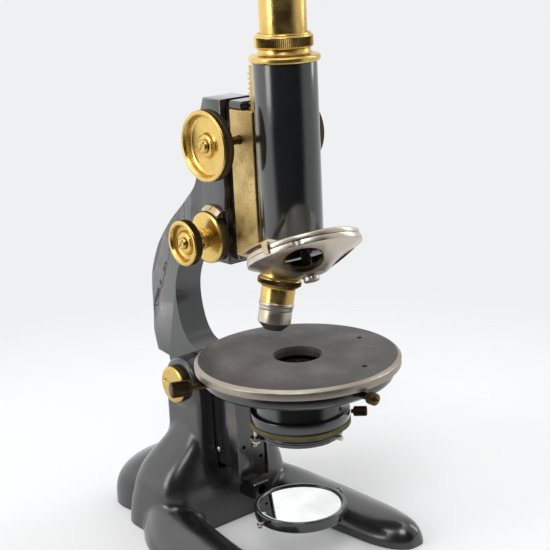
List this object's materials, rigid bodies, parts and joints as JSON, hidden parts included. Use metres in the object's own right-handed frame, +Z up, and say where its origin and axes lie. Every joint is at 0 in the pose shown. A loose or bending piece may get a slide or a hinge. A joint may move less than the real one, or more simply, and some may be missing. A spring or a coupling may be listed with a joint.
{
  "type": "compound microscope",
  "caption": "Upright monocular compound microscope with a tilting limb, horseshoe foot, round turning stage, substage condenser, mirror, turning nosepiece and rack focus.",
  "frame": {"origin": "on the underside of the foot, straight below the inclination joint's axis, in the plane of symmetry", "axes": "+Z up, +Y towards the back (the heel of the foot), -Y towards the stage and the toes, +X along the inclination joint to the right as seen from the front facing +Y"},
  "size_m": [0.1309, 0.201, 0.332],
  "materials": {
    "black_enamel": "glossy black enamel over brass and iron castings",
    "stage_black": "worn matt black with a bare plated rim",
    "brass": "lacquered, polished and a little tarnished",
    "dark_brass": "tarnished dark brown, milled",
    "aged_brass": "dull greenish brass",
    "nickel": "satin nickel plate with a warm tone",
    "steel": "bright turned steel",
    "glass": "clear polished lenses",
    "mirror": "silvered glass",
    "ebonite": "hard black ebonite"
  },
  "bodies": {
    "base": {"base_casting": "black_enamel", "inclination_bolt": "steel", "bolt_head_left": "brass", "bolt_head_right": "brass"},
    "limb": {"limb": "black_enamel", "fine_focus_guide": "black_enamel", "fine_focus_index": "nickel", "stage_bracket": "black_enamel", "tailpiece": "black_enamel", "bracket_screw_left": "nickel", "bracket_screw_right": "nickel", "tailpiece_screw": "steel", "substage_collar": "black_enamel", "mirror_arm": "black_enamel"},
    "stage": {"stage_plate": "stage_black"},
    "centring_screw_left": {"centring_screw_left": "dark_brass"},
    "centring_screw_front": {"centring_screw_front": "dark_brass"},
    "collar_screw": {"collar_screw": "dark_brass"},
    "condenser": {"condenser_body": "black_enamel", "iris_ring": "aged_brass", "iris_housing": "black_enamel", "condenser_upper_lens": "glass", "condenser_lower_lens": "glass", "tray_pivot_screw": "nickel"},
    "iris": {"iris_leaves": "steel", "iris_lever": "nickel"},
    "tray": {"filter_tray": "black_enamel"},
    "mirror_fork": {"mirror_fork": "black_enamel"},
    "mirror": {"mirror_cell": "black_enamel", "mirror_glass": "mirror", "mirror_pivot_left": "nickel", "mirror_pivot_right": "nickel"},
    "fine_slide": {"fine_focus_slide": "brass", "slide_cap": "black_enamel"},
    "fine_knobs": {"fine_focus_spindle": "steel", "fine_focus_drum": "brass", "fine_focus_knob_left": "brass", "fine_focus_knob_right": "brass", "fine_knob_screw": "brass"},
    "coarse_knobs": {"coarse_pinion": "steel", "coarse_focus_knob_left": "brass", "coarse_focus_knob_right": "brass", "coarse_knob_screw_left": "brass", "coarse_knob_screw_right": "brass"},
    "tube": {"body_tube": "black_enamel", "tube_flange": "brass", "draw_tube_clamp": "brass", "rack_bar": "brass", "nosepiece_mount": "nickel", "nosepiece_nut": "nickel", "detent_spring": "nickel"},
    "nosepiece": {"nosepiece_disc": "nickel", "objective_mount": "brass", "objective_barrel": "nickel", "objective_lens": "glass"},
    "draw_tube": {"draw_tube": "brass"},
    "eyepiece": {"eyepiece_tube": "brass", "eyepiece_cap": "ebonite", "eye_lens": "glass", "field_lens": "glass"}
  },
  "joints": [
    {"name": "inclination", "type": "hinge", "parent": "base", "child": "limb", "pos_m": [0, 0, 0.0855], "axis": [-1, 0, 0], "range_deg": [0, 90]},
    {"name": "stage_rotation", "type": "hinge", "parent": "limb", "child": "stage", "pos_m": [0, -0.08, 0.113], "axis": [0, 0, 1], "continuous": true},
    {"name": "centring_left_turn", "type": "hinge", "parent": "limb", "child": "centring_screw_left", "pos_m": [-0.04712, -0.06048, 0.1067], "axis": [-0.9239, 0.3827, 0], "continuous": true},
    {"name": "centring_front_turn", "type": "hinge", "parent": "limb", "child": "centring_screw_front", "pos_m": [-0.00178, -0.13097, 0.1067], "axis": [-0.0349, -0.9994, 0], "continuous": true},
    {"name": "collar_clamp", "type": "hinge", "parent": "limb", "child": "collar_screw", "pos_m": [0.01909, -0.09909, 0.0832], "axis": [0.7071, -0.7071, 0], "continuous": true},
    {"name": "condenser_focus", "type": "slide", "parent": "limb", "child": "condenser", "axis": [0, 0, 1], "range_m": [-0.015, 0]},
    {"name": "iris_turn", "type": "hinge", "parent": "condenser", "child": "iris", "pos_m": [0, -0.08, 0.078], "axis": [0, 0, 1], "range_deg": [-40, 40]},
    {"name": "filter_swing", "type": "hinge", "parent": "condenser", "child": "tray", "pos_m": [-0.02355, -0.07049, 0.0723], "axis": [0, 0, -1], "range_deg": [0, 90]},
    {"name": "mirror_swivel", "type": "hinge", "parent": "limb", "child": "mirror_fork", "pos_m": [0, -0.077, 0.026], "axis": [0, -1, 0], "range_deg": [-45, 30]},
    {"name": "mirror_tilt", "type": "hinge", "parent": "mirror_fork", "child": "mirror", "pos_m": [0, -0.077, 0.026], "axis": [1, 0, 0], "continuous": true},
    {"name": "fine_focus", "type": "slide", "parent": "limb", "child": "fine_slide", "axis": [0, 0, 1], "range_m": [-0.001, 0.001]},
    {"name": "fine_knob_turn", "type": "hinge", "parent": "limb", "child": "fine_knobs", "pos_m": [0, -0.0276, 0.1745], "axis": [-1, 0, 0], "range_deg": [-721, 721]},
    {"name": "coarse_focus", "type": "slide", "parent": "fine_slide", "child": "tube", "axis": [0, 0, 1], "range_m": [-0.015, 0.035]},
    {"name": "coarse_knob_turn", "type": "hinge", "parent": "fine_slide", "child": "coarse_knobs", "pos_m": [0, -0.0525, 0.2296], "axis": [-1, 0, 0], "range_deg": [-180, 418]},
    {"name": "nosepiece_turn", "type": "hinge", "parent": "tube", "child": "nosepiece", "pos_m": [-0.00335, -0.09344, 0.17372], "axis": [-0.1098, -0.4405, -0.891], "continuous": true},
    {"name": "draw_tube_slide", "type": "slide", "parent": "tube", "child": "draw_tube", "axis": [0, 0, 1], "range_m": [-0.02, 0.04]},
    {"name": "eyepiece_lift", "type": "slide", "parent": "draw_tube", "child": "eyepiece", "axis": [0, 0, 1], "range_m": [0, 0.025]}
  ],
  "couplings": [
    {"joint": "fine_knob_turn", "follows": "fine_focus", "rad_per_m": 12566},
    {"joint": "coarse_knob_turn", "follows": "coarse_focus", "rad_per_m": 208.33}
  ]
}
